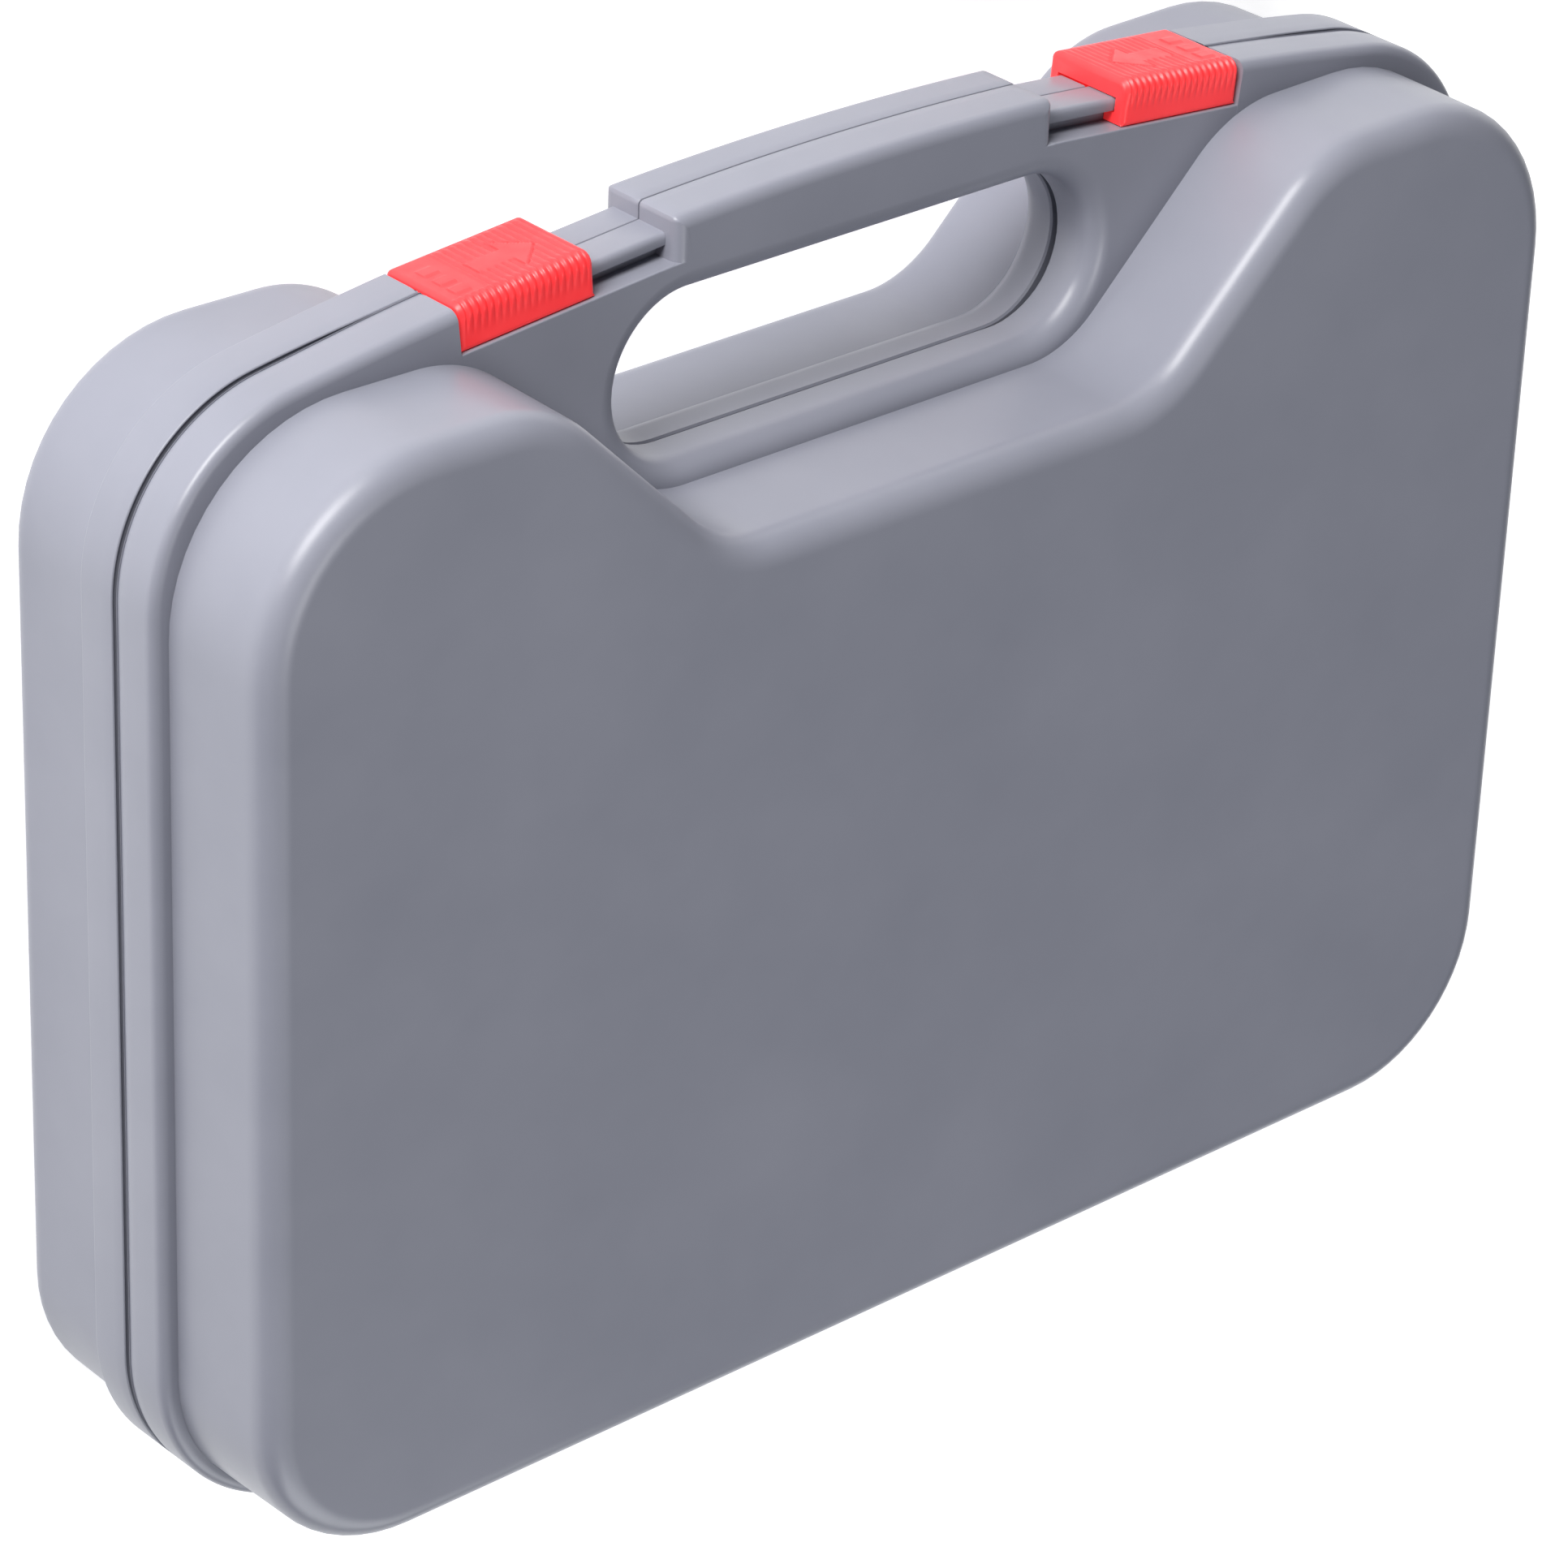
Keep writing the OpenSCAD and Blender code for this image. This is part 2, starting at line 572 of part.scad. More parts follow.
// The inside of the base up to a height, moved in by t
module base_tub(t, top) intersection() {
    translate([0, 0, part_z]) mirror([0, 0, 1]) raised_body(t);
    translate([-case_w, -case_l, 0]) cube([2 * case_w, 2 * case_l, top]);
}

end_room = 0.8;                                  // room at each end of a tool in its pocket
module trough(len, r, g) translate([0, 0, -g - end_room])
    cylinder(r = r + room + g, h = len + 2 * (g + end_room), $fn = 48);
module round_pocket_x(x, y, len, r, g) tool_along_x(x, y, tray_z) trough(len, r, g);
module round_pocket_y(x, y, len, r, g) tool_along_y(x, y, tray_z) trough(len, r, g);
module socket_pocket(s, x, y, g)
    round_pocket_y(x, y - socket_len(s) / 2, socket_len(s), drive_d(s) / 2, g);
module box_pocket(a, b, low, g) translate([a[0] - g, a[1] - g, low - g])
    cube([b[0] - a[0] + 2 * g, b[1] - a[1] + 2 * g, tray_z - low + g + (g > 0 ? 0 : 20)]);

// Every pocket, grown by g
module pockets(g) {
    for (i = [0:len(LARGE) - 1]) socket_pocket(LARGE[i], row_x(LARGE, i), large_y, g);
    for (i = [0:len(SMALL) - 1]) socket_pocket(SMALL[i], row_x(SMALL, i), small_y, g);
    for (i = [0:len(PLUGS) - 1])
        round_pocket_x(plug_x - plug_len / 2, plug_y[i], plug_len, plug_d(PLUGS[i]) / 2, g);
    round_pocket_x(bar_x - long_bar / 2, extension_y, long_bar, head_d / 2, g);
    round_pocket_y(short_x, short_y - short_bar / 2, short_bar, head_d / 2, g);
    round_pocket_x(adaptor_x - 19, adaptor_y, 38, 11, g);
    // Ratchet: a deep well for the square, a step for the head and a trough for the handle
    box_pocket([ratchet_x - 10.5, ratchet_y - 10.5], [ratchet_x + 10.5, ratchet_y + 10.5], 4.4, g);
    box_pocket([ratchet_x - 20, ratchet_y - 20], [ratchet_x + 48, ratchet_y + 20], head_low, g);
    round_pocket_x(ratchet_x + 40, ratchet_y, 185, 15.5, g);
    // Sliding bar: a trough for the head's whole travel
    box_pocket([bar_x - slider_travel - 14, sliding_y - 26.4],
        [bar_x + slider_travel + 14, sliding_y + 12.5], tool_z - slider_w / 2 - 0.4, g);
    round_pocket_x(bar_x - long_bar / 2, sliding_y, long_bar, bar_r + 2, g);
    box_pocket(bin[0], bin[1], joint_z - yoke_d / 2 - 0.4, g);
}

module base_tray() color("dimgray") difference() {
    union() {
        difference() {
            base_tub(wall + fit_gap, tray_z);
            base_tub(wall + fit_gap + sheet, tray_z - sheet);
            translate([0, 0, -1]) linear_extrude(8) body_outline(wall + edge_r + sheet);
        }
        intersection() {
            base_tub(wall + fit_gap, tray_z);
            pockets(sheet);
        }
    }
    pockets(0);
}

// ---- Drawing ----

// Names of the numbered tools, such as socket_32mm
function id(kind, size) = str(kind, "_", size, "mm");

base_shell();
lid_shell();
left_hinge_pin();
right_hinge_pin();
left_latch();
right_latch();
base_tray();
lid_pad();
ratchet_housing();
ratchet_grip();
ratchet_cover();
cover_screws();
drive_gear();
gear_ball();
pawl();
reverse_lever();
long_extension();
long_extension_ball();
short_extension();
short_extension_ball();
sliding_bar();
bar_end_rings();
sliding_head();
sliding_head_ball();
joint_socket_yoke();
joint_cross();
joint_pin_pair();
joint_cross_pin();
joint_square_yoke();
joint_ball();
bit_adaptor();
for (i = [0:len(LARGE) - 1]) row_socket(LARGE, i, large_y);
for (i = [0:len(SMALL) - 1]) row_socket(SMALL, i, small_y);
for (i = [0:len(PLUGS) - 1]) plug_socket(i);
for (i = [0:len(PLUGS) - 1]) plug_insert(i);
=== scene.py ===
import json
import math

import bpy
import numpy as np
from mathutils import Matrix, Vector


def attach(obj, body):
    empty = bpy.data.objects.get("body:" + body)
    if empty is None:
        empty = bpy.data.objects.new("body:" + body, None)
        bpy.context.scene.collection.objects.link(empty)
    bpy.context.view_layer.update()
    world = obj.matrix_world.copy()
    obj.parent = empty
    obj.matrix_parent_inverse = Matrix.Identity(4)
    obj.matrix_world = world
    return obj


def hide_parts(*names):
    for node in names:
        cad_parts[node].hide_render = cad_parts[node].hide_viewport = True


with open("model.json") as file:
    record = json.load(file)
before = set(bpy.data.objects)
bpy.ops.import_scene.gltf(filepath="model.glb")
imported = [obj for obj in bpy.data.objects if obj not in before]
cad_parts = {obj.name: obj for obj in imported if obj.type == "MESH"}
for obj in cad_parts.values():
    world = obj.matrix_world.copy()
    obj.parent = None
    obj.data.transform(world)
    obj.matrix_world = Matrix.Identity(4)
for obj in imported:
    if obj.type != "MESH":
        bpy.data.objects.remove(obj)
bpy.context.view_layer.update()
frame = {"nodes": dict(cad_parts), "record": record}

# ---- Camera ----
# A long lens looks at the case from the handle side and above, rolled so that the handle is at the top.
# The angles are those of a case standing on its hinge edge, turned here with the case as it lies down.
azimuth, elevation, roll = (math.radians(a) for a in (42.316, 28.547, 2.258))
back = np.array([-math.sin(azimuth) * math.cos(elevation), -math.cos(azimuth) * math.cos(elevation),
                 math.sin(elevation)])
right = np.cross(-back, (0, 0, 1))
right /= np.linalg.norm(right)
up = np.cross(right, -back)
right, up = (right * math.cos(roll) + up * math.sin(roll), up * math.cos(roll) - right * math.sin(roll))
lying = np.array([[-1, 0, 0], [0, 0, -1], [0, -1, 0]])          # standing axes to lying axes
right, up, back = (lying @ v for v in (right, up, back))
aim = np.array([0.00643, 0.01405, 0.044])
DISTANCE = 1.42942
camera = bpy.data.objects.new("camera", bpy.data.cameras.new("camera"))
camera.data.sensor_width = 36
camera.data.lens = 145.69
camera.data.clip_end = 20
camera.matrix_world = Matrix.Translation(Vector(aim + back * DISTANCE)) @ Matrix(
    np.array([right, up, back]).T.tolist()).to_4x4()
bpy.context.scene.collection.objects.link(camera)
bpy.context.scene.camera = camera

# ---- Outlines of the case ----
# The moulded body is a rounded rectangle with a valley under the hand hole, and its rim has straight sides,
# round corners and an arched handle edge. Points are (x, q) in mm, with q measured from the hinge edge.
HINGE_EDGE = 137.5                        # the row's Y of q = 0
PART_Z = 44.0                             # height of the parting plane
BODY = np.array([[-186, 3.7], [186, 3.7], [186, 264.7], [109.4, 263.4], [61.4, 216.4], [-61.4, 216.4],
                 [-109.4, 263.4], [-186, 264.7]])
BODY_R = np.array([39.8, 39.8, 43.4, 35, 28, 28, 35, 43.4])
ARCH_R, TOP_R, BOTTOM_R = 947.0, 42.4, 45.0
SHARP_ANGLE = math.radians(38)            # a crease sharper than this stays an edge


def left(v):
    return np.stack([-v[..., 1], v[..., 0]], -1)


def rounded(points, radii, inset=0.0, n=14, gap=12):
    """A closed anticlockwise polygon moved in by inset, each corner an arc of its own radius in n steps and
    each side cut into gap steps. A convex corner's radius shrinks by the inset and a concave one's grows."""
    side = np.roll(points, -1, 0) - points
    side /= np.linalg.norm(side, axis=1)[:, None]
    before = np.roll(side, 1, 0)
    turn = np.arctan2(before[:, 0] * side[:, 1] - before[:, 1] * side[:, 0], (before * side).sum(1))
    s = np.sign(turn)
    r = np.maximum(radii - s * inset, 0.01)
    v = points + inset * (left(before) + left(side)) / (1 + (before * side).sum(1))[:, None]
    centre = v - before * (r * np.tan(np.abs(turn) / 2))[:, None] + (s * r)[:, None] * left(before)
    start = np.arctan2(*(-s[:, None] * left(before)).T[::-1])
    a = start[:, None] + turn[:, None] * np.linspace(0, 1, n + 1)
    arcs = centre[:, None] + r[:, None, None] * np.stack([np.cos(a), np.sin(a)], -1)
    f = np.linspace(0, 1, gap + 1)[1:-1, None]
    sides = arcs[:, -1:] * (1 - f) + np.roll(arcs, -1, 0)[:, :1] * f
    return np.concatenate([arcs, sides], 1).reshape(-1, 2)


def blend(a, b, t):
    """0 below a, 1 above b, and a smooth step between."""
    u = np.clip((np.asarray(t, float) - a) / (b - a), 0, 1)
    return u * u * (3 - 2 * u)


def in_row(x, q, t, half):
    """Points of a half in the row's frame: x stays, Y is the hinge edge less q, and t is the distance from
    the parting plane, upwards in the lid (half = 1) and downwards in the base (half = -1)."""
    x, q, t = np.broadcast_arrays(x, q, t)
    return np.stack([x, HINGE_EDGE - q, PART_Z + half * t], -1)


def surface(name, grid, loop_u=False, loop_v=False, caps=False):
    """A mesh over a grid of points in mm: a face between each four neighbours, joined round where a loop is
    asked for, and its first and last rows closed with one face each. It is turned to face outwards."""
    nu, nv = grid.shape[:2]
    i = np.arange(nu * nv).reshape(nu, nv)
    if loop_u:
        i = np.vstack([i, i[:1]])
    if loop_v:
        i = np.hstack([i, i[:, :1]])
    quads = np.stack([i[:-1, :-1], i[1:, :-1], i[1:, 1:], i[:-1, 1:]], -1).reshape(-1, 4).tolist()
    if caps:
        quads += [list(range(nv)), list(range(nu * nv - 1, nu * nv - nv - 1, -1))]
    mesh = bpy.data.meshes.new(name)
    mesh.from_pydata((grid.reshape(-1, 3) / 1000).tolist(), [], quads)
    piece = bpy.data.objects.new(name, mesh)
    bpy.context.scene.collection.objects.link(piece)
    if signed_volume(mesh) < 0:
        mesh.flip_normals()
    mesh.shade_smooth()
    mesh.set_sharp_from_angle(angle=SHARP_ANGLE)
    return piece


def signed_volume(mesh):
    """Sum over the triangles of a . (b x c) / 6, which is positive when they face outwards."""
    mesh.calc_loop_triangles()
    co = np.empty(len(mesh.vertices) * 3)
    mesh.vertices.foreach_get("co", co)
    tri = np.empty(len(mesh.loop_triangles) * 3, int)
    mesh.loop_triangles.foreach_get("vertices", tri)
    a, b, c = co.reshape(-1, 3)[tri.reshape(-1, 3)].transpose(1, 0, 2)
    return (a * np.cross(b, c)).sum() / 6


# ---- Shell plastic ----
# Injection-moulded polypropylene in blue-grey: satin, with a very fine grain, faint cloudy flow marks and a
# slightly paler tone, both over distances of some centimetres.
def links(material, pairs):
    for a, b in pairs:
        material.node_tree.links.new(a, b)


def node(material, kind, **values):
    """A shader node of that kind, with its properties and inputs set by name."""
    n = material.node_tree.nodes.new("ShaderNode" + kind)
    for key, value in values.items():
        if key in n.inputs:
            n.inputs[key].default_value = value
        else:
            setattr(n, key, value)
    return n


def new_material(name, **values):
    """A material with one Principled shader, whose sockets are set by name, and its coordinates."""
    m = bpy.data.materials.new(name)
    m.use_nodes = True
    shader = m.node_tree.nodes["Principled BSDF"]
    for key, value in values.items():
        shader.inputs[key.replace("_", " ")].default_value = value
    return m, shader, node(m, "TexCoord").outputs["Object"]


def noise(m, coords, scale, detail=2.0, rough=0.5):
    n = node(m, "TexNoise", Scale=scale, Detail=detail, Roughness=rough)
    links(m, [(coords, n.inputs["Vector"])])
    return n.outputs["Fac"]


def ramp(m, fac, stops):
    """A colour for each place from 0 to 1, or a grey where a number is given."""
    r = node(m, "ValToRGB")
    while len(r.color_ramp.elements) < len(stops):
        r.color_ramp.elements.new(0.5)
    for e, (at, c) in zip(r.color_ramp.elements, stops):
        e.position = at
        e.color = (*c, 1) if hasattr(c, "__len__") else (c, c, c, 1)
    links(m, [(fac, r.inputs["Fac"])])
    return r.outputs["Color"]


def bumps(m, shader, heights):
    """Chains a Bump node for each (height, strength, distance in metres)."""
    last = None
    for height, strength, distance in heights:
        b = node(m, "Bump", Strength=strength, Distance=distance)
        links(m, [(height, b.inputs["Height"])] + ([(last, b.inputs["Normal"])] if last else []))
        last = b.outputs["Normal"]
    links(m, [(last, shader.inputs["Normal"])])


def moulded(name, deep, pale, rough, grain=0.08):
    m, shader, at = new_material(name, Specular_IOR_Level=0.5, IOR=1.47)
    clouds = noise(m, at, 16, 4, 0.6)
    links(m, [(ramp(m, clouds, [(0.3, deep), (0.7, pale)]), shader.inputs["Base Color"]),
              (ramp(m, noise(m, at, 40, 3), [(0.3, rough - 0.02), (0.7, rough + 0.05)]),
               shader.inputs["Roughness"])])
    bumps(m, shader, [(noise(m, at, 420, 2), grain, 0.00004)])
    return m


shell_plastic = moulded("shell_plastic", (0.219, 0.227, 0.272), (0.243, 0.250, 0.297), 0.33)

# ---- Lid and base: raised body of each half ----
# One deep shell with a 2.4 mm wall and a slight draft, its outside edge rounded all round. The wall, the
# rounding, the flat face and the inside are one closed surface.
WALL, DRAFT, EDGE_R, DEPTH = 2.4, 0.7, 6.5, 44.0
HALVES = {"lid": (1, "lid_shell"), "base": (-1, "base_shell")}
slant = math.atan(DRAFT / DEPTH)                                # the wall's lean, where its rounding starts
fillet = np.linspace(slant, math.pi / 2, 14)
middle_in = DRAFT / DEPTH * (DEPTH - EDGE_R) + EDGE_R / math.cos(slant)
body_parts = {}
rise = np.array([0.06, 10, 20, 30, 37.0])
# (distance from the parting plane, inset from the outline): the inside to the parting plane, then the outside
profile = np.concatenate([
    [[DEPTH - WALL, DRAFT + 11], [DEPTH - WALL, DRAFT + 6.5], [DEPTH - WALL - 0.5, DRAFT + 4.5],
     [DEPTH - WALL - 1.6, DRAFT + 3], [DEPTH - WALL - 3.5, DRAFT + WALL],
     [20, WALL + DRAFT / 2], [0.5, WALL + 0.1], [0.06, WALL - 0.3], [0.06, 0.4]],
    np.stack([rise, DRAFT * rise / DEPTH], 1),
    np.stack([DEPTH - EDGE_R * (1 - np.sin(fillet)), middle_in - EDGE_R * np.cos(fillet)], 1),
    [[DEPTH, middle_in + 0.5], [DEPTH, middle_in + 5]]])
for half_name, (half, _) in HALVES.items():
    rows = [in_row(*rounded(BODY, BODY_R, inset).T, t, half) for t, inset in profile]
    body_parts[half_name] = surface(half_name + "_body", np.stack(rows), loop_v=True, caps=True)

# ---- Rims ----
# A flat flange round each half, rounded at its outer edge, that closes on the other half's. It runs from one
# latch pocket round the sides and the hinge edge to the other, and is notched for the knuckles and pins.
HINGE_X, KNUCKLE_END, NOTCH = 105.0, 18.0, 3.55
RIM = {"lid": (12.8, 2.6), "base": (11.6, 0.7)}                  # thickness and outer edge rounding


def arc(c, r, a0, a1, n):
    a = np.linspace(a0, a1, n)
    return np.stack([c[0] + r * np.cos(a), c[1] + r * np.sin(a)], 1)


HALF_W, ARCH_TOP = 190.0, 280.0
arch_c = np.array([0, ARCH_TOP - ARCH_R])
top_x = HALF_W - TOP_R
top_c = np.array([top_x, arch_c[1] + math.sqrt((ARCH_R - TOP_R) ** 2 - top_x ** 2)])
top_a = math.atan2(top_c[1] - arch_c[1], top_x)
RIM_END_X = 112.6
end_a = math.acos(RIM_END_X / ARCH_R)


def rim_path():
    """One side of the rim from the latch pocket to the middle of the hinge edge, then its mirror image."""
    low_c = np.array([HALF_W - BOTTOM_R, BOTTOM_R])
    notch = HINGE_X + np.array([-18.32, -18.28, -8.32, -8.28, -7.98, -7.94,
                                7.94, 7.98, 8.28, 8.32, 18.28, 18.32])
    along = np.unique(np.concatenate([notch, np.linspace(0, low_c[0], 26)]))[::-1]
    one = np.concatenate([
        arc(arch_c, ARCH_R, end_a, top_a, 24), arc(top_c, TOP_R, top_a, 0, 40)[1:],
        np.stack([np.full(14, HALF_W), np.linspace(top_c[1], low_c[1], 16)[1:-1]], 1),
        arc(low_c, BOTTOM_R, 0, -math.pi / 2, 40),
        np.stack([along, np.zeros(len(along))], 1)[1:]])
    return np.concatenate([one, one[-2::-1] * [-1, 1]])


def inward(path):
    """Unit normal of the path, pointing into the case, from the path's own tangent."""
    d = np.gradient(path, axis=0)
    n = left(d) / np.linalg.norm(d, axis=1)[:, None]
    k = len(path) // 4
    return n if (n[k] * (np.array([0, 130]) - path[k])).sum() > 0 else -n


def reach(path, normal, outline):
    """Distance from each path point along its normal to the outline: the nearest crossing of the ray p + s n
    with any segment a + f (b - a), where 0 <= f <= 1."""
    a, b = outline, np.roll(outline, -1, 0)
    e = (b - a)[None]
    w = a[None] - path[:, None]
    den = normal[:, None, 0] * e[..., 1] - normal[:, None, 1] * e[..., 0]
    den = np.where(np.abs(den) < 1e-9, 1e-9, den)
    s = (w[..., 0] * e[..., 1] - w[..., 1] * e[..., 0]) / den
    f = (w[..., 0] * normal[:, None, 1] - w[..., 1] * normal[:, None, 0]) / den
    return np.where((f >= 0) & (f <= 1) & (s > 0), s, 1e9).min(1)


path = rim_path()
normal = inward(path)
width = np.clip(reach(path, normal, rounded(BODY, BODY_R)) + 1.3, 0, 15)
# the split line is open by twice this, and wider round the sides and the hinge edge
half_gap = 0.12 + 0.6 * blend(118, 150, np.abs(path[:, 0]) + 200 * (path[:, 1] < 240))
at_hinge = np.where(path[:, 1] < 1, np.abs(np.abs(path[:, 0]) - HINGE_X), 1e3)
notched = (at_hinge < KNUCKLE_END + 0.3) * NOTCH
round_ = np.radians(np.linspace(0, 90, 8))
small = np.radians(np.linspace(90, 0, 4))
INNER_R = 0.35
for half_name, (half, _) in HALVES.items():
    thick, r = RIM[half_name]
    # (distance in from the outer edge, distance from the parting plane, share of the notch)
    section = np.concatenate([
        np.stack([INNER_R * (1 - np.sin(small)), INNER_R * (1 - np.cos(small)), 1 + 0 * small], 1),
        [[0, 2.5, 1], [0, 4.5, 1], [0, 4.55, 0], [0, 6, 0]],
        np.stack([r * (1 - np.cos(round_)), thick - r * (1 - np.sin(round_)), 0 * round_], 1)])
    rows = []
    for d, t, share in section:
        low = half_gap * (1 - blend(0, 3, t))
        p = path + normal * (d + share * notched)[:, None]
        rows.append(in_row(p[:, 0], p[:, 1], t + low, half))
    for t, keep in ((thick, 0.25), (thick, 0.0), (0.0, 0.0), (0.0, 0.25)):
        d = width - keep * np.minimum(width - 3.9, 1)
        p = path + normal * d[:, None]
        rows.append(in_row(p[:, 0], p[:, 1], t + (half_gap if t == 0 else 0), half))
    body_parts[half_name + "_rim"] = surface(half_name + "_rim", np.stack(rows, 1), loop_v=True, caps=True)

# ---- Handle ----
# The plate between the valley and the arched edge, with the hand hole through it. Its middle is the grip, with
# rounded edges; on each side of the grip the plate steps down to a ledge that carries a latch's rail.
HOLE_W, HOLE_LOW, HOLE_R, HOLE_EDGE = 68.3, 221.3, 19.6, 5.2
GRIP_W, GRIP_R, PLATE_R = 54.1, 2.8, 0.35
RAIL_TILT = math.radians(5)
LATCH_X, LATCH_H, LATCH_W = 93.3, 10.2, 35.7
rail_q = ARCH_TOP - LATCH_X ** 2 / (2 * ARCH_R) - LATCH_H


def rail_point(s, y):
    """(x, q) of a point s along the rail from the latch's middle, outwards, and y square to it, inwards."""
    c, n = math.cos(RAIL_TILT), math.sin(RAIL_TILT)
    return np.stack(np.broadcast_arrays(LATCH_X + s * c - y * n, rail_q - s * n - y * c), -1)


def arch(x):
    return np.stack([x, arch_c[1] + np.sqrt(ARCH_R ** 2 - x ** 2)], -1)


hole_c = np.array([0, HOLE_LOW + HOLE_R])
flat = HOLE_W - HOLE_R
ledge_end = rail_point(19.2, 0.3)
ledge_start = rail_point(-39.2, 0.3)
ledge_start[0] = GRIP_W
grip_edge = arch(np.array(GRIP_W))
# The plate ends in the middle of the body's wall, which it follows from the ledge's end down into the valley.
PER_CORNER, PER_ARC, POCKET_END_X = 26, 15, 113.6               # the outline's points at a corner and on its arc
wall = rounded(BODY, BODY_R, WALL / 2)[3 * PER_CORNER:4 * PER_CORNER + PER_ARC]
wall = wall[wall[:, 0] < POCKET_END_X]
run = np.concatenate([[0], np.cumsum(np.linalg.norm(np.diff(wall, axis=0), axis=1))])
wall_end = wall[-1]
wall = np.stack([np.interp(np.linspace(0, run[-1], 19, endpoint=False), run, wall[:, k]) for k in (0, 1)], 1)


def handle_loops():
    """Matched half loops, clockwise from the grip's middle: the hand hole with its normals away from the hole,
    and the plate's outside with each point's edge rounding. Both have the same number of points."""
    f = [np.linspace(0, 1, n, endpoint=False)[:, None] for n in (18, 3, 14, 26)]
    f[3][1] = 0.006                       # the grip's edge rounding ends at the foot of its end face
    line = lambda a, b, f: a + (b - a) * f
    x = (GRIP_W - 1.0) * f[0][:, 0]
    corner = np.array([grip_edge + [-1.0, 0.06], grip_edge + [-0.3, -0.3], grip_edge + [0, -1.0]])
    outer = np.concatenate([
        arch(x), corner, line(grip_edge - [0, 1.4], ledge_start, f[2]),
        line(ledge_start, ledge_end, f[3]),
        line(ledge_end, wall[0], f[1]), wall, line(wall_end, wall_end * [0, 1], f[0])])
    # points on the arch, corner, end face, ledge, wall and valley floor
    sizes = [18, 3, 14, 26, 22, 18]
    start = hole_c + [0, HOLE_R]
    a = np.radians(np.concatenate([np.linspace(90, 88, 3, False), np.linspace(88, 85.3, 14, False),
                                   np.linspace(85.3, 20, 26, False), np.linspace(20, 14, 6, False),
                                   np.linspace(14, -90, 16, False)]))
    bend = hole_c + [flat, 0] + HOLE_R * np.stack([np.cos(a), np.sin(a)], 1)
    inner = np.concatenate([line(start, start + [flat, 0], f[0]), bend,
                            line(hole_c + [flat, -HOLE_R], hole_c - [0, HOLE_R], f[0])])
    n_in = np.concatenate([np.tile([0, 1.0], (18, 1)), np.stack([np.cos(a), np.sin(a)], 1),
                           np.tile([0, -1.0], (18, 1))])
    radius = np.repeat([GRIP_R] * 3 + [PLATE_R] * 3, sizes)
    radius[sum(sizes[:3])] = GRIP_R
    return inner, n_in, outer, radius


def close(a, end, sign=(-1, 1)):
    """A half loop, the point that ends it, and its mirror image back to the start."""
    return np.concatenate([a, [end], a[:0:-1] * sign])


inner, n_in, outer, radius = handle_loops()
inner = close(inner, hole_c - [0, HOLE_R])
n_in = close(n_in, [0, -1.0])
outer = close(outer, wall_end * [0, 1])
radius = np.concatenate([radius, [PLATE_R], radius[:0:-1]])
d_out = np.roll(outer, -1, 0) - outer
d_out /= np.linalg.norm(d_out, axis=1)[:, None]
before = np.roll(d_out, 1, 0)
# The loop runs clockwise, so its inside is on the right. A mitre keeps each side parallel as it moves in.
mitre = -(left(before) + left(d_out)) / (1 + np.clip((before * d_out).sum(1), -0.3, 1))[:, None]
foot = (np.abs(np.abs(outer[:, 0]) - GRIP_W) < 0.01) & (np.abs(outer[:, 1] - ledge_start[1]) < 0.01)
mitre[foot] = np.stack([-np.sign(outer[foot, 0]), np.full(foot.sum(), -PLATE_R / GRIP_R)], 1)
on_grip = (np.abs(outer[:, 0]) < GRIP_W + 0.01) & (outer[:, 1] > 262)


def moved_in(d):
    """The outside moved in by d at each point. On the grip it stays inside the arch and the end faces moved in
    by as much, so that the rounding turns the grip's corners with a mitre."""
    d = np.broadcast_to(d, len(outer))
    p = outer + mitre * d[:, None]
    x = np.where(on_grip, np.clip(p[:, 0], d - GRIP_W, GRIP_W - d), p[:, 0])
    q = np.where(on_grip, np.minimum(p[:, 1], arch(np.clip(x, -GRIP_W, GRIP_W))[:, 1] - d), p[:, 1])
    return x, q


a = np.radians(np.linspace(0, 90, 9))
# half the split line's width in the hand hole: wider at one end of the grip and round the hole's ends
hole_gap = 0.2 + 0.32 * blend(-20, 0, -np.abs(inner[:, 0] + 62)) + 0.3 * blend(56, 66, np.abs(inner[:, 0]))
for half_name, (half, _) in HALVES.items():
    thick = RIM[half_name][0] - 0.04                            # just under the rim's face where they meet
    rows = []
    # outside, from the parting plane up and over the rounded edge
    for d, t in ((0.5, 0.0), (0.15, 0.12), (0.0, 0.45), (0.0, 3.0)):
        rows.append(in_row(*moved_in(d), t + 0.12, half))
    for k in a:
        rows.append(in_row(*moved_in(radius * (1 - np.cos(k))), thick - radius * (1 - np.sin(k)), half))
    rows.append(in_row(*moved_in(radius + 0.25), thick, half))
    # hand hole, over its rounded edge and down
    p = inner + n_in * (HOLE_EDGE + 0.3)
    rows.append(in_row(p[:, 0], p[:, 1], thick, half))
    for k in a[::-1]:
        p = inner + n_in * (HOLE_EDGE * (1 - np.cos(k)))
        rows.append(in_row(p[:, 0], p[:, 1], thick - HOLE_EDGE * (1 - np.sin(k)), half))
    for d, t in ((0.0, 3.0), (0.0, 0.5), (0.4, 0.0)):
        p = inner + n_in * d
        rows.append(in_row(p[:, 0], p[:, 1], t + hole_gap, half))
    body_parts[half_name + "_handle"] = surface(half_name + "_handle", np.stack(rows), loop_u=True,
                                                loop_v=True)

# ---- Latch rails ----
# Each half carries half of a T-shaped rail on the ledges, and a latch grips both halves together. The base's
# rail is cut away where the latch's back hook has to come out when it is slid open.
LIP_LOW, LIP_TOP, LIP_D, LIP_R, STEM_D = -2.6, -5.6, 9.0, 1.3, 6.0
RAIL_START, RAIL_END, HOOK_START, HOOK_END = -40.4, 19.6, -18.15, 0.3


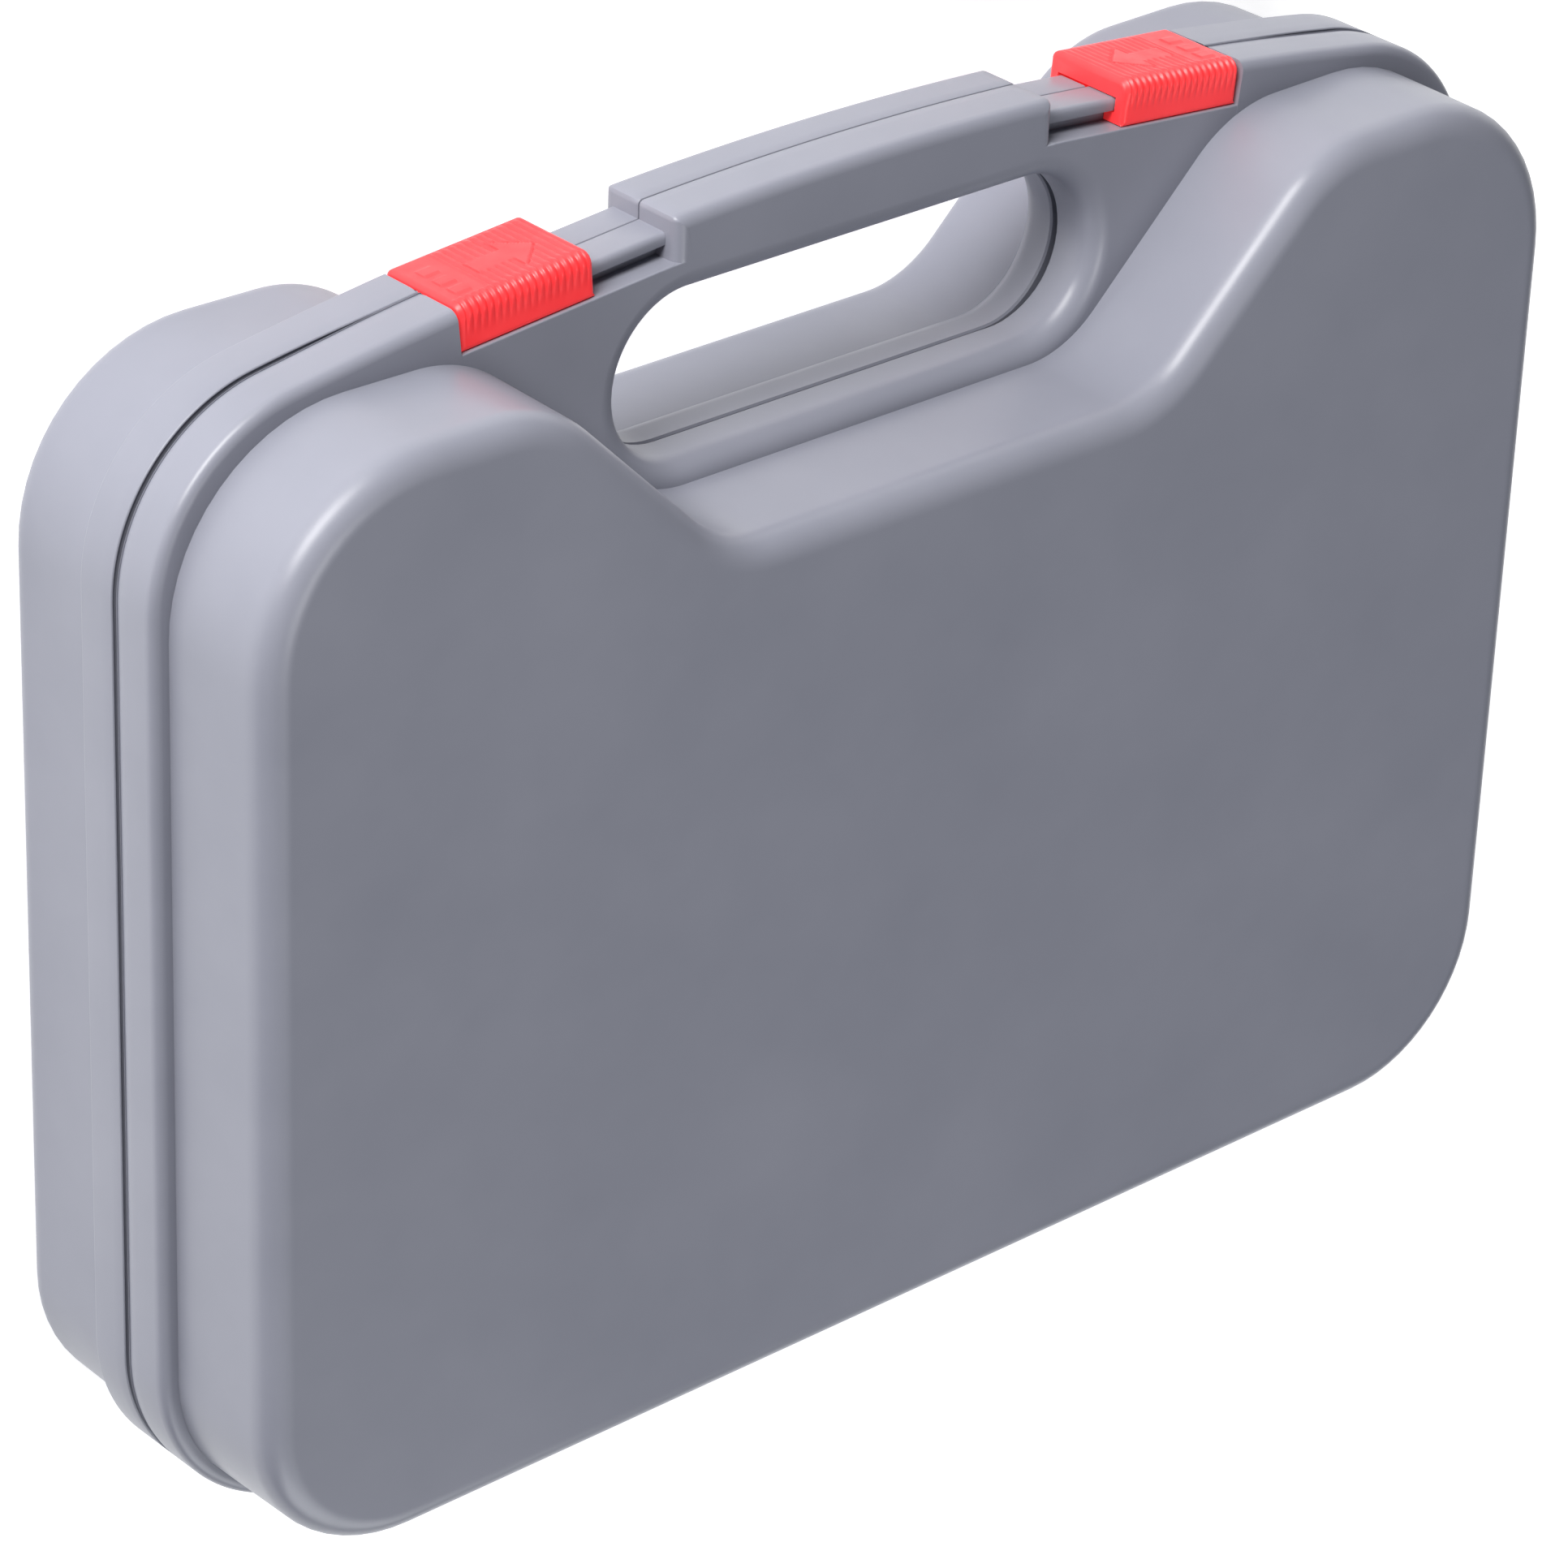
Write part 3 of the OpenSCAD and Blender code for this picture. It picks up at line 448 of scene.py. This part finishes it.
def rail_piece(name, s0, s1, side, half):
    """The rail's half section, a stem and a wider lip with rounded edges, carried along s."""
    r = np.radians(np.linspace(0, 90, 6))
    lip = np.concatenate([
        [[2.5, 0.05], [2.5, STEM_D], [LIP_LOW - 0.2, STEM_D], [LIP_LOW, STEM_D + 0.2], [LIP_LOW, LIP_D - 0.4],
         [LIP_LOW - 0.15, LIP_D - 0.1], [LIP_LOW - 0.4, LIP_D]],
        np.stack([LIP_TOP + LIP_R * (1 - np.sin(r)), LIP_D - LIP_R * (1 - np.cos(r))], 1),
        [[LIP_TOP, 0.6], [LIP_TOP + 0.1, 0.25], [LIP_TOP + 0.35, 0.1]]])
    s = np.linspace(s0, s1, 9)
    xy = rail_point(s[:, None], lip[None, :, 0])
    return surface(name, in_row(side * xy[..., 0], xy[..., 1], lip[None, :, 1], half), loop_v=True, caps=True)


for side, where in ((1, "right"), (-1, "left")):
    for kind, s0, s1, half in (("lid_rail_", RAIL_START, RAIL_END, 1),
                               ("base_rail_", RAIL_START, HOOK_START, -1),
                               ("base_rail_end_", HOOK_END, RAIL_END, -1)):
        body_parts[kind + where] = rail_piece(kind + where, s0, s1, side, half)

# ---- Hinge knuckles ----
# Moulded on the hinge edge: two on the base at each hinge with one of the lid's between them, each a round eye
# with a web that runs into the rim and a bore for the pin.
BORE_R, KNUCKLE_R, KNUCKLE_HALF, BASE_KNUCKLE, AXIS_Y = 1.6, 4.0, 7.9, 8.3, 138.5


def knuckle(name, x0, x1, half):
    """An eye of radius 4 round the hinge axis and its web, carried along x with small chamfers at its ends, and
    back along the pin's bore, whose points lie in the same directions from the axis."""
    a = np.radians(np.linspace(58, -165, 30))
    eye = np.stack([AXIS_Y + KNUCKLE_R * np.cos(a), KNUCKLE_R * np.sin(a)], 1)
    web = np.array([[132.6, 0.4], [132.6, 3.5], [132.6, 7.0], [132.6, 10.6], [137.2, 10.4], [138.6, 9.4],
                    [139.2, 7.2], [139.35, 4.35]])
    section = np.concatenate([web, eye, [[133.6, 0.2]]])
    middle = np.array([AXIS_Y, 0])
    x = np.array([x0, x0 + 0.15, x0 + 0.5, x1 - 0.5, x1 - 0.15, x1])
    shrink = np.array([0.94, 0.98, 1, 1, 0.98, 0.94])
    yz = middle + (section - middle) * shrink[:, None, None]
    bore = middle + BORE_R * (section - middle) / np.linalg.norm(section - middle, axis=1)[:, None]
    yz = np.concatenate([yz, [bore, bore]])
    x = np.append(x, [x1, x0])
    return surface(name, np.stack(np.broadcast_arrays(x[:, None], yz[..., 0], PART_Z + half * yz[..., 1]), -1),
                   loop_u=True, loop_v=True)


for side, where in ((1, "right"), (-1, "left")):
    middle = side * HINGE_X
    name = "lid_knuckle_" + where
    body_parts[name] = knuckle(name, middle - KNUCKLE_HALF, middle + KNUCKLE_HALF, 1)
    for k, (x0, x1) in enumerate(((-KNUCKLE_END, -BASE_KNUCKLE), (BASE_KNUCKLE, KNUCKLE_END))):
        name = "base_knuckle_%s_%d" % (where, k)
        body_parts[name] = knuckle(name, middle + x0, middle + x1, -1)

for name, part in body_parts.items():
    half_name = name.split("_")[0]
    part.data.materials.append(shell_plastic)
    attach(part, "lid" if half_name == "lid" else "base")
    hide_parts(HALVES[half_name][1])

# ---- Latches ----
# Two slides in red plastic, C-shaped in section, that grip the rails. The outside is moulded with nineteen
# grip ribs that run over the front edge, an arrow that points to the grip, and three plain bars.
LATCH_D, RIBS = 12.2, 19
half_l = LATCH_W / 2
PITCH = LATCH_W / RIBS
MARK_Z = 0.6                              # how far towards the lid the arrow and bars sit


def latch_section():
    """The C section, closed, as (y inwards, z towards the lid): the outside from the back leg's foot over the
    top to the front leg's foot, then the inside back. Returns it with each point's outward direction."""
    r1, r2 = 2.8, 1.6
    a = np.radians(np.linspace(0, 90, 12))
    out = np.concatenate([
        [[-0.5, -LATCH_D], [-2.5, -LATCH_D], [-4.5, -LATCH_D], [-6.5, -LATCH_D]],
        np.stack([-LATCH_H + r2 * (1 - np.sin(a)), -LATCH_D + r2 * (1 - np.cos(a))], 1),
        np.stack([np.full(40, -LATCH_H), np.linspace(-LATCH_D + r2 + 0.4, LATCH_D - r1 - 0.3, 40)], 1),
        np.stack([-LATCH_H + r1 * (1 - np.cos(a)), LATCH_D - r1 * (1 - np.sin(a))], 1),
        np.stack([np.linspace(-LATCH_H + r1 + 0.4, -0.5, 16), np.full(16, LATCH_D)], 1)])
    d = np.gradient(out, axis=0)
    n = np.stack([d[:, 1], -d[:, 0]], 1)
    n /= np.linalg.norm(n, axis=1)[:, None]
    n *= np.sign((n * (out - [-4, 0])).sum(1))[:, None]
    inside = np.array([[0, LATCH_D - 0.3], [0, 6.3], [-2.3, 6.3], [-2.3, 9.3], [-5.9, 9.3], [-5.9, -9.3],
                       [-2.3, -9.3], [-2.3, -6.2], [0, -6.2], [0, -LATCH_D + 0.3]])
    return out, n, inside


def arrow(s, z):
    """Height of the arrow: 1 inside a head and a shaft that point to the grip (s negative), 0 outside."""
    head = (s > -11.5) & (s < -4.2) & (np.abs(z) < (s + 11.5) * 0.92)
    shaft = (s >= -4.2) & (s < 5.0) & (np.abs(z) < 2.7)
    return (head | shaft).astype(float)


def plain_bars(s, z):
    """Three short raised bars across the outer end, in place of any word."""
    return ((np.abs(s - 12.4) < 1.9) & (np.abs(np.abs(z) - 5.2) < 1.7) | (np.abs(s - 12.4) < 1.9)
            & (np.abs(z) < 1.7)).astype(float)


out, out_n, inside = latch_section()
along = np.linspace(-half_l, half_l, RIBS * 10 + 1)
ends = np.radians(np.linspace(0, 90, 6))
END_R = 1.3
s = np.concatenate([-half_l + END_R * (1 - np.cos(ends)), along[(along > -half_l + END_R + 0.05)
                                                                 & (along < half_l - END_R - 0.05)],
                    (half_l - END_R * (1 - np.cos(ends)))[::-1]])
pull = END_R * (1 - np.sqrt(np.clip(1 - (np.maximum(np.abs(s) - half_l + END_R, 0) / END_R) ** 2, 0, 1)))
S, Z = np.meshgrid(s, out[:, 1], indexing="ij")
Y = np.broadcast_to(out[:, 0], S.shape)
top = Y < -LATCH_H + 0.05
wave = 0.5 - 0.5 * np.cos(2 * np.pi * (S + half_l) / PITCH)
crest = 1 - (1 - wave) ** 2
band = 1 - blend(6.9, 7.7, S)                                    # the ribs stop short of the bars
on_top = blend(-LATCH_D + 1.4, -LATCH_D + 2.6, Z) * np.where(Z < LATCH_D - 3.2, band, 1)
fade = 1 - blend(-9.5, -2.6, Y)
rim_keep = 1 - blend(half_l - 1.6, half_l - 0.9, np.abs(S))
strong = 0.3 + 0.3 * blend(LATCH_D - 4.5, LATCH_D - 2.0, Z)
on_arrow = arrow(S, Z - MARK_Z)
by_arrow = (1 - on_arrow) * (arrow(S - 0.5, Z - MARK_Z) + arrow(S + 0.7, Z - MARK_Z) > 0)
quiet = 1 - on_arrow * top - by_arrow * top                      # no ribs on the arrow or just beside it
lift = strong * crest * on_top * fade * rim_keep * np.clip(quiet, 0, 1)
lift = lift + 0.3 * on_arrow * top + 0.28 * plain_bars(S, Z - MARK_Z) * top * rim_keep
move = lift - pull[:, None]
outside = np.stack([Y + out_n[:, 0] * move, Z + out_n[:, 1] * move], -1)
inner_rows = np.broadcast_to(inside, (len(s), *inside.shape))
section = np.concatenate([outside, inner_rows], 1)
# The latch plastic also glows faintly red (emission 0.3): painted light that makes the latches brighter than the
# lamps alone light them.
latch_plastic, shader, at = new_material("latch_plastic", Specular_IOR_Level=0.5, IOR=1.47,
                                         Subsurface_Weight=0.08, Subsurface_Scale=0.002,
                                         Emission_Color=(1, 0.035, 0.04, 1), Emission_Strength=0.3)
links(latch_plastic, [
    (ramp(latch_plastic, noise(latch_plastic, at, 60, 3),
          [(0.3, (0.78, 0.030, 0.036)), (0.7, (0.86, 0.042, 0.048))]), shader.inputs["Base Color"]),
    (ramp(latch_plastic, noise(latch_plastic, at, 300, 3), [(0.35, 0.32), (0.7, 0.46)]),
     shader.inputs["Roughness"])])
bumps(latch_plastic, shader, [(noise(latch_plastic, at, 500, 2), 0.08, 0.00004)])
for side, where in ((1, "right"), (-1, "left")):
    xy = rail_point(S[:, :1] + 0 * section[..., 0], section[..., 0])
    grid = in_row(side * xy[..., 0], xy[..., 1], section[..., 1], 1)
    latch = surface(where + "_latch_slide", grid, loop_v=True, caps=True)
    latch.data.materials.append(latch_plastic)
    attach(latch, where + "_latch_body")
    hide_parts(where + "_latch")

# ---- Inside of the case ----
# A vacuum-formed tray in matt black plastic, a foam pad, chrome-plated tools, steel pins and gears, and the
# ratchet's ribbed rubber grip. These are the model's own solids, given their finishes here.


def finish(nodes, material):
    for n in nodes:
        o = frame["nodes"][n]
        o.data.materials.clear()
        o.data.materials.append(material)


tray = moulded("tray_plastic", (0.018, 0.018, 0.020), (0.026, 0.026, 0.029), 0.55, 0.3)
foam, shader, at = new_material("foam", Roughness=0.95, Sheen_Weight=0.2, Sheen_Roughness=0.6)
cells = node(foam, "TexVoronoi", Scale=900.0)
links(foam, [(at, cells.inputs["Vector"]),
             (ramp(foam, cells.outputs["Distance"],
                   [(0.0, (0.012, 0.012, 0.013)), (0.7, (0.045, 0.045, 0.047))]), shader.inputs["Base Color"])])
bumps(foam, shader, [(cells.outputs["Distance"], 0.6, 0.0006), (noise(foam, at, 60, 3), 0.4, 0.001)])


def metal(name, colour, rough, scratch):
    m, shader, at = new_material(name, Metallic=1.0, Specular_IOR_Level=0.5)
    links(m, [(ramp(m, noise(m, at, 90, 3), [(0.3, [c * 0.9 for c in colour]), (0.7, colour)]),
               shader.inputs["Base Color"]),
              (ramp(m, noise(m, at, 240, 5, 0.65), [(0.35, rough * 0.75), (0.7, rough * 1.3)]),
               shader.inputs["Roughness"])])
    bumps(m, shader, [(noise(m, at, 900, 4), scratch, 0.00005)])
    return m


chrome = metal("tool_chrome", (0.74, 0.75, 0.77), 0.16, 0.1)
gear_steel = metal("gear_steel", (0.36, 0.36, 0.38), 0.42, 0.2)
pin_steel = metal("pin_steel", (0.55, 0.55, 0.57), 0.19, 0.1)
ball_steel = metal("ball_steel", (0.68, 0.68, 0.70), 0.1, 0.03)
rubber = moulded("grip_rubber", (0.012, 0.012, 0.013), (0.02, 0.02, 0.022), 0.6, 0.25)
finishes = {"tray_plastic": tray, "foam": foam, "tool_chrome": chrome, "gear_steel": gear_steel,
            "pin_steel": pin_steel, "ball_steel": ball_steel, "grip_rubber": rubber}
for part in frame["record"]["subparts"]:
    if part.get("material_slot") in finishes:
        finish([part["node"]], finishes[part["material_slot"]])

# ---- Floor, light and sky ----
# A pale seamless floor, a large soft light low on the handle side, a small one overhead, a wide cool one on the
# hinge side, and a dim sky.
floor_mesh = bpy.data.meshes.new("floor")
floor_mesh.from_pydata([(-6, -6, 0), (6, -6, 0), (6, 6, 0), (-6, 6, 0)], [], [(0, 1, 2, 3)])
floor = bpy.data.objects.new("floor", floor_mesh)
bpy.context.scene.collection.objects.link(floor)
pale, shader, at = new_material("floor_paper", Roughness=0.9, Emission_Strength=0.56)
shader.inputs["Emission Color"].default_value = (1, 1, 1, 1)
links(pale, [(ramp(pale, noise(pale, at, 3, 2), [(0.3, 0.86), (0.7, 0.88)]), shader.inputs["Base Color"])])
floor_mesh.materials.append(pale)


def area_light(name, place, target, size, power, colour=(1, 1, 1)):
    light = bpy.data.lights.new(name, "AREA")
    light.shape = "RECTANGLE"
    light.size, light.size_y = size
    light.energy = power
    light.color = colour
    o = bpy.data.objects.new(name, light)
    o.location = place
    o.rotation_euler = (Vector(place) - Vector(target)).to_track_quat("Z", "Y").to_euler()
    bpy.context.scene.collection.objects.link(o)


area_light("key_light", (1.13, -1.7, 0.5), (0, 0, 0.04), (1.5, 0.8), 64, (1, 0.985, 0.975))
area_light("front_light", (-0.05, 0.15, 1.45), (-0.05, 0.05, 0.08), (0.5, 0.5), 5.0)
area_light("hinge_side_light", (-0.1, 1.7, 1.0), (0, 0, 0.04), (1.6, 1.0), 20, (0.95, 0.97, 1))
world = bpy.data.worlds.new("studio")
bpy.context.scene.world = world
world.use_nodes = True
world.node_tree.nodes["Background"].inputs["Color"].default_value = (0.86, 0.9, 1.0, 1)
world.node_tree.nodes["Background"].inputs["Strength"].default_value = 0.1
bpy.context.scene.view_settings.view_transform = "Standard"
